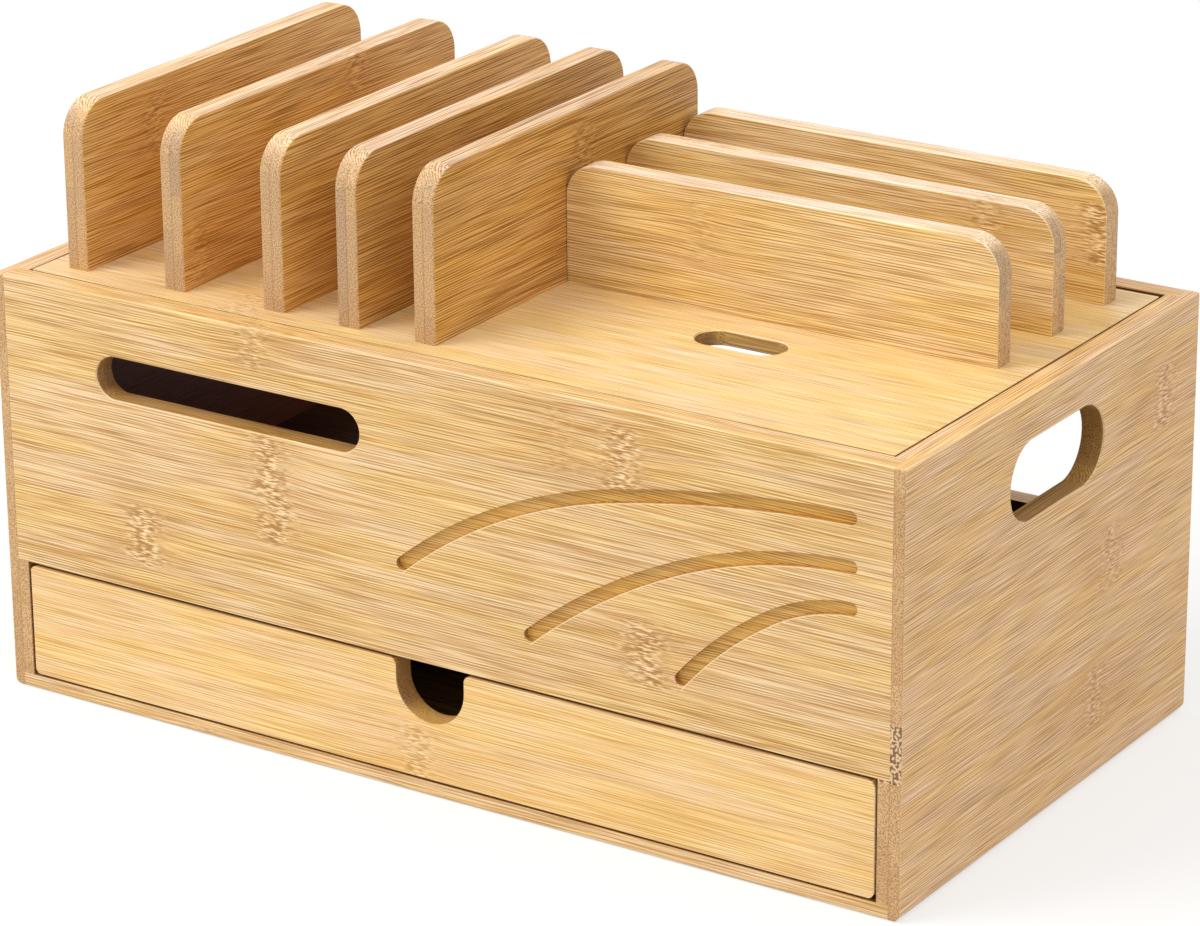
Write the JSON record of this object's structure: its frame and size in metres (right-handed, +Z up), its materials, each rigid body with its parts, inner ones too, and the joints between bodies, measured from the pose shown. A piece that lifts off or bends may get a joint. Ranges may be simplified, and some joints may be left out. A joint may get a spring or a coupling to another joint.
{
  "type": "charging station organizer",
  "caption": "Desktop charging station organizer in bamboo: a box with a drawer, cable slots and hand holes, and a lift-off lid that carries upright dividers for phones and tablets.",
  "frame": {"origin": "on the table under the middle of the box's footprint", "axes": "+X along the width to the right as seen from the front, +Y from the drawer side to the back, +Z up"},
  "size_m": [0.34, 0.188, 0.201],
  "materials": {
    "bamboo_outer": "satin lacquered bamboo",
    "bamboo_divider": "satin lacquered bamboo",
    "bamboo_inner": "plain sanded bamboo",
    "screw_steel": "zinc plated"
  },
  "bodies": {
    "box": {"left_side_panel": "bamboo_outer", "right_side_panel": "bamboo_outer", "front_panel": "bamboo_outer", "base_board": "bamboo_outer", "shelf_board": "bamboo_inner", "lower_back_panel": "bamboo_outer", "back_rail": "bamboo_outer", "left_lid_batten": "bamboo_inner", "right_lid_batten": "bamboo_inner", "front_lid_batten": "bamboo_inner"},
    "drawer": {"drawer_front": "bamboo_outer", "drawer_left_side": "bamboo_inner", "drawer_right_side": "bamboo_inner", "drawer_back": "bamboo_inner", "drawer_bottom": "bamboo_inner"},
    "lid": {"lid_board": "bamboo_outer", "long_divider_1": "bamboo_divider", "long_divider_2": "bamboo_divider", "long_divider_3": "bamboo_divider", "long_divider_4": "bamboo_divider", "long_divider_5": "bamboo_divider", "cross_divider_1": "bamboo_divider", "cross_divider_2": "bamboo_divider", "cross_divider_3": "bamboo_divider", "divider_screws": "screw_steel"}
  },
  "joints": [
    {"name": "drawer_slide", "type": "slide", "parent": "box", "child": "drawer", "axis": [0, -1, 0], "range_m": [0, 0.14]},
    {"name": "lid_lift", "type": "slide", "parent": "box", "child": "lid", "axis": [0, 0, 1], "range_m": [0, 0.06]}
  ]
}
